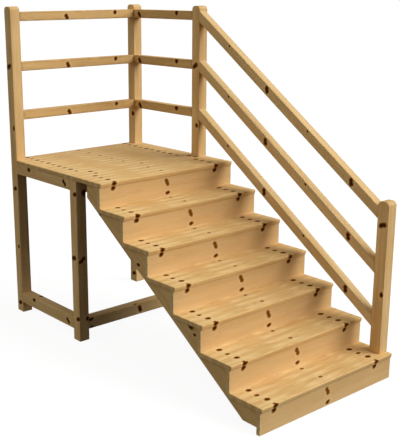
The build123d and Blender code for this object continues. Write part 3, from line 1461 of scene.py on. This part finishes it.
def studio_world(stage):
    """White to the camera and to gloss; to the wood a soft light from overhead."""
    world = bpy.data.worlds.new("Studio")
    bpy.context.scene.world = world
    g = emptied_graph(world)

    def background(tint, strength):
        inputs = {"Color": tint, "Strength": strength}
        return g.output(g.node("ShaderNodeBackground", inputs))

    *_, up = g.split(g.outputs(g.node("ShaderNodeTexCoord"))["Generated"])
    strength = (up * up * stage.sky_top + stage.sky_even) * g.math("GREATER_THAN", up, 0.0)
    white = background((1.0, 1.0, 1.0), 1.0)
    fill = background((1.0, 0.99, 0.97), strength)
    shown = g.node("ShaderNodeMixShader", {0: shows_surroundings(g), 1: fill, 2: white})
    g.node("ShaderNodeOutputWorld", {"Surface": g.output(shown)})


def studio_lamp(name, strength, softness, azimuth, elevation, blue=1.0):
    """Broad distant lamp in the given direction, turned from -Y towards +X."""
    lamp = bpy.data.lights.new(name, "SUN")
    lamp.energy = strength
    lamp.angle = softness
    lamp.color = (1.0, 1.0, blue)
    flat = math.cos(elevation)
    towards_light = Vector(
        (math.sin(azimuth) * flat, -math.cos(azimuth) * flat, math.sin(elevation))
    )
    light = bpy.data.objects.new(name, lamp)
    light.rotation_mode = "QUATERNION"
    light.rotation_quaternion = (-towards_light).to_track_quat("-Z", "Y")
    light.location = towards_light * LAMP_DISTANCE
    bpy.context.scene.collection.objects.link(light)


class StairsStage(bpy.types.Operator):
    """Builds the floor, the lights and the camera"""

    bl_idname = "deck_stairs.stage"
    bl_label = "Stage"

    def execute(self, context):
        stage = context.scene.stairs_stage
        bm = bmesh.new()
        bmesh.ops.create_circle(bm, cap_ends=True, segments=96, radius=FLOOR_RADIUS)
        mesh = bpy.data.meshes.new("floor")
        bm.to_mesh(mesh)
        bm.free()
        mesh.materials.append(floor_material(stage))
        floor = bpy.data.objects.new("floor", mesh)
        floor.location.z = cad_bounds[0].z - FLOOR_DROP
        context.scene.collection.objects.link(floor)

        studio_world(stage)
        key = (stage.key_strength, stage.key_softness, stage.key_azimuth, stage.key_elevation)
        top = (stage.top_strength, stage.broad, stage.key_azimuth, stage.top_elevation)
        fill = (stage.fill_strength, stage.broad, stage.fill_azimuth, stage.fill_elevation)
        studio_lamp("Key light", *key)
        studio_lamp("Top light", *top)
        studio_lamp("Fill light", *fill, FILL_BLUE)

        lens = bpy.data.cameras.new("Camera")
        lens.sensor_width = 36.0
        lens.lens = stage.camera_lens
        lens.shift_x, lens.shift_y = stage.camera_shift, stage.camera_rise
        lens.clip_start, lens.clip_end = 0.1, 200.0
        camera = bpy.data.objects.new("Camera", lens)
        camera.location = stage.camera_place
        level = Euler((math.radians(90) - stage.camera_elevation, 0.0, stage.camera_azimuth))
        rolled = level.to_matrix() @ Matrix.Rotation(stage.camera_roll, 3, "Z")
        camera.rotation_euler = rolled.to_euler()
        context.scene.collection.objects.link(camera)
        context.scene.camera = camera

        context.scene.view_settings.view_transform = "Standard"
        return {"FINISHED"}


PIECE_OPERATORS = (
    StairsPosts,
    StairsLevelRails,
    StairsSlopingRails,
    StairsGroundRails,
    StairsDeckFrame,
    StairsLanding,
    StairsTreads,
    StairsRisers,
    StairsStringers,
    StairsStage,
)


class StairsPanel(bpy.types.Panel):
    """Lists the settings and the operators of the deck stairs"""

    bl_idname = "VIEW3D_PT_deck_stairs"
    bl_label = "Deck Stairs"
    bl_space_type = "VIEW_3D"
    bl_region_type = "UI"
    bl_category = "Deck Stairs"

    def draw(self, context):
        scene = context.scene
        for title, settings in (
            ("Timber", scene.stairs_timber),
            ("Wood", scene.stairs_wood),
            ("Stage", scene.stairs_stage),
        ):
            box = self.layout.box()
            box.label(text=title)
            for name in settings.__annotations__:
                box.prop(settings, name)
        for operator in PIECE_OPERATORS:
            self.layout.operator(operator.bl_idname)


SETTINGS = {
    "stairs_timber": StairsTimberSettings,
    "stairs_wood": StairsWoodSettings,
    "stairs_stage": StairsStageSettings,
}


def register():
    for kind in (*SETTINGS.values(), *PIECE_OPERATORS, StairsPanel):
        bpy.utils.register_class(kind)
    for name, kind in SETTINGS.items():
        setattr(bpy.types.Scene, name, PointerProperty(type=kind))


def unregister():
    for name in SETTINGS:
        delattr(bpy.types.Scene, name)
    for kind in reversed((*SETTINGS.values(), *PIECE_OPERATORS, StairsPanel)):
        bpy.utils.unregister_class(kind)


def main():
    register()
    for operator in PIECE_OPERATORS:
        group, name = operator.bl_idname.split(".")
        getattr(getattr(bpy.ops, group), name)()


if __name__ == "__main__":
    main()
